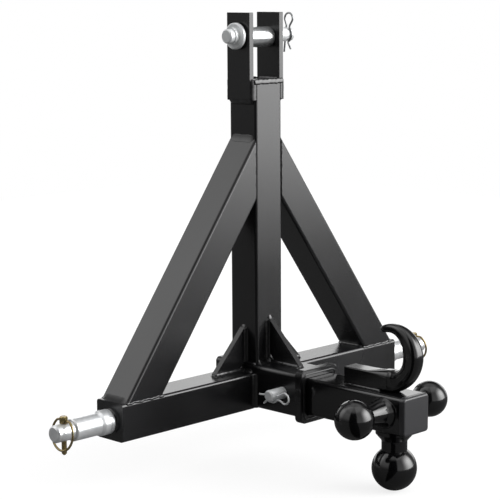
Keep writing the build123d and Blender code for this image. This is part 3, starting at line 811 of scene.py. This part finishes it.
def floor_finish():
    """Matt studio board: board mixed with white, by camera x camera_white or mirror x behind."""
    material, tree, output = fresh("studio_board_matt")
    place = add(tree, "ShaderNodeTexCoord").outputs["Object"]
    cloud_form = {"Scale": 1000 / board_cloud_mm}
    cloud = add(tree, "ShaderNodeTexNoise", {"Vector": place}, cloud_form).outputs["Fac"]
    greys = ((0.4, "#6A6A6A"), (0.6, "#6E6E6E"))
    grey = add(tree, "ShaderNodeValToRGB", {"Fac": cloud}, stops=greys)

    # Painted shade: the board turns #161616 inside the wedge. The camera sees the pale board
    # instead, so only the other rays see the dark patch.
    spot = {0: add(tree, VECTOR, {0: place}, {1: painted_shade_point}, operation="SUBTRACT").outputs[0]}
    aside = add(tree, VECTOR, spot, {1: right_axis}, operation="DOT_PRODUCT").outputs["Value"]
    ahead = add(tree, VECTOR, spot, {1: front_axis}, operation="DOT_PRODUCT").outputs["Value"]
    away = add(tree, VECTOR, spot, operation="LENGTH").outputs["Value"]
    bearing = add(tree, MATH, {0: aside, 1: ahead}, operation="ARCTAN2").outputs[0]
    off_middle = add(tree, MATH, {0: bearing}, {1: painted_shade_turn}, operation="ADD").outputs[0]
    off_middle = add(tree, MATH, {0: off_middle}, operation="ABSOLUTE").outputs[0]
    within = add(tree, MATH, {0: off_middle}, {1: painted_shade_half}, operation="LESS_THAN").outputs[0]
    beyond = add(tree, MATH, {0: away}, {1: painted_shade_start}, operation="GREATER_THAN").outputs[0]
    painted_shade = add(tree, MATH, {0: within, 1: beyond}, operation="MULTIPLY").outputs[0]
    painted_shade_tone = {7: linear("#161616")}
    tones = {0: painted_shade, 6: grey.outputs["Color"]}
    tone = add(tree, "ShaderNodeMix", tones, painted_shade_tone, data_type="RGBA")

    ray = add(tree, "ShaderNodeLightPath").outputs
    camera_ray = ray["Is Camera Ray"]
    mirror_rays = {0: ray["Is Glossy Ray"], 1: ray["Is Transmission Ray"]}
    camera_share = add(tree, MATH, {0: camera_ray}, {1: camera_white}, operation="MULTIPLY")
    mirrored = add(tree, MATH, mirror_rays, operation="MAXIMUM").outputs[0]
    behind = add(tree, MATH, {0: ahead}, {1: white_behind}, operation="LESS_THAN").outputs[0]
    mirror_share = add(tree, MATH, {0: mirrored, 1: behind}, operation="MULTIPLY").outputs[0]
    shares = {0: camera_share.outputs[0], 1: mirror_share}
    share = add(tree, MATH, shares, operation="MAXIMUM").outputs[0]

    board = add(tree, "ShaderNodeBsdfDiffuse", {"Color": tone.outputs[2]}).outputs[0]
    pale = add(tree, "ShaderNodeBsdfDiffuse", values={"Color": linear("#EDEDED")}).outputs[0]
    white_form = {"Color": linear("#FFFFFF"), "Strength": white_strength}
    white = add(tree, "ShaderNodeEmission", values=white_form).outputs[0]
    base = add(tree, "ShaderNodeMixShader", {"Fac": camera_ray, 1: board, 2: pale}).outputs[0]
    blend = add(tree, "ShaderNodeMixShader", {"Fac": share, 1: base, 2: white}).outputs[0]
    tree.links.new(blend, output.inputs["Surface"])
    return material


floor_half = 2.5
floor_gap = 0.0005
floor_level = cad_box[0][2] - floor_gap
spread = np.array([(-1, -1), (1, -1), (1, 1), (-1, 1)]) * floor_half
floor_mesh = bpy.data.meshes.new("floor")
floor_mesh.from_pydata([(x, y, floor_level) for x, y in spread.tolist()], [], [(0, 1, 2, 3)])
floor_mesh.materials.append(floor_finish())
floor = bpy.data.objects.new("floor", floor_mesh)
bpy.context.scene.collection.objects.link(floor)
print("floor at", round(floor_level * 1000, 1), "mm")

# %% [markdown]
# ## Light
#
# The coat shows what stood round the object: a tall soft box on the right that fades towards the
# floor, a dim wall on the left, a dark gap behind the lens, and a white backdrop behind the
# object. Lamps could stand for each, but a lamp has a hard edge in a glossy ball. A world that is
# painted by direction, as a room is seen from its middle, gives the same soft edges. Each light
# is a strength times two profiles: one round the compass, where 0 degrees is towards the lens and
# 90 is the right, and one from the floor to the ceiling, where 0 degrees is level.

# %% Directions in the room
world = bpy.data.worlds.new("studio")
bpy.context.scene.world = world
world.use_nodes = True
tree = world.node_tree
tree.nodes.clear()
output = add(tree, "ShaderNodeOutputWorld")
direction = add(tree, "ShaderNodeTexCoord").outputs["Generated"]
rightward, frontward = (
    add(tree, VECTOR, {0: direction}, {1: axis}, operation="DOT_PRODUCT").outputs["Value"]
    for axis in (right_axis, front_axis)
)
compass = add(tree, MATH, {0: rightward, 1: frontward}, operation="ARCTAN2").outputs[0]
height = add(tree, "ShaderNodeSeparateXYZ", {"Vector": direction}).outputs["Z"]
rise = add(tree, MATH, {0: height}, operation="ARCSINE").outputs[0]
all_round = {"From Min": -math.pi, "From Max": math.pi}
floor_to_ceiling = {"From Min": -math.pi / 2, "From Max": math.pi / 2}
compass_place = add(tree, "ShaderNodeMapRange", {"Value": compass}, all_round).outputs[0]
rise_place = add(tree, "ShaderNodeMapRange", {"Value": rise}, floor_to_ceiling).outputs[0]
print("the room has", len(tree.nodes), "nodes for its directions")


# %% Lights of the room
def patch(strength, compass_stops, rise_stops):
    """One light: strength x profile round the compass x profile from floor to ceiling."""
    compass_levels = [((degree + 180) / 360, level) for degree, level in compass_stops]
    rise_levels = [((degree + 90) / 180, level) for degree, level in rise_stops]
    across = add(tree, "ShaderNodeValToRGB", {"Fac": compass_place}, stops=compass_levels)
    upward = add(tree, "ShaderNodeValToRGB", {"Fac": rise_place}, stops=rise_levels)
    across.color_ramp.interpolation = upward.color_ramp.interpolation = "EASE"
    profiles = {0: across.outputs["Color"], 1: upward.outputs["Color"]}
    level = add(tree, MATH, profiles, operation="MULTIPLY").outputs[0]
    return add(tree, MATH, {0: level}, {1: strength}, operation="MULTIPLY").outputs[0]


lights = {
    "backdrop": patch(
        1.8,
        ((-180, 1), (-150, 1), (-130, 0), (130, 0), (150, 1), (180, 1)),
        ((-12, 0.5), (0, 1), (16, 1), (28, 0)),
    ),
    "soft_box": patch(
        7.8,
        ((40, 0), (84, 1), (98, 0.85), (114, 0)),
        ((-14, 0), (-11, 0.14), (-7, 0.42), (-3, 0.68), (27, 1), (60, 0)),
    ),
    "right_wall": patch(
        0.8,
        ((10, 0), (14, 1), (100, 1), (125, 0.3), (170, 0)),
        ((-12, 0.2), (0, 1), (60, 0.8), (90, 0.8)),
    ),
    "left_wall": patch(
        2.1,
        ((-150, 0.1), (-122, 0.25), (-110, 1), (-95, 1), (-75, 0.45), (-36, 0.45), (-33, 0)),
        ((-12, 0.02), (0, 0.15), (25, 0.8), (40, 1), (60, 0.4), (90, 0.4)),
    ),
    "ceiling": patch(0.8, ((-180, 1), (180, 1)), ((45, 0), (65, 1))),
}
print("lights of the room:", ", ".join(lights))

# %% [markdown]
# ## One world for every kind of ray
#
# The lights are added up. The camera sees plain white behind the object, as in the photograph,
# whatever the lights are. A mirroring face sees at least that white where the backdrop is, so
# that metal and ball show the same ground as the picture.

# %% Studio surroundings
total = lights["backdrop"]
for name in ("soft_box", "right_wall", "left_wall", "ceiling"):
    total = add(tree, MATH, {0: total, 1: lights[name]}, operation="ADD").outputs[0]
ray = add(tree, "ShaderNodeLightPath").outputs
mirror_rays = {0: ray["Is Glossy Ray"], 1: ray["Is Transmission Ray"]}
mirrored = add(tree, MATH, mirror_rays, operation="MAXIMUM").outputs[0]
behind = add(tree, MATH, {0: lights["backdrop"]}, {1: 1.0}, operation="MINIMUM").outputs[0]
white_there = add(tree, MATH, {0: mirrored, 1: behind}, operation="MULTIPLY").outputs[0]
total = add(tree, MATH, {0: total, 1: white_there}, operation="MAXIMUM").outputs[0]
pure_white = {"Color": linear("#FFFFFF")}
room = add(tree, "ShaderNodeBackground", {"Strength": total}, pure_white).outputs[0]
white = add(tree, "ShaderNodeBackground", values={**pure_white, "Strength": 1.0}).outputs[0]
mix = add(tree, "ShaderNodeMixShader", {"Fac": ray["Is Camera Ray"], 1: room, 2: white}).outputs[0]
tree.links.new(mix, output.inputs["Surface"])
print("the world has", len(tree.nodes), "nodes")
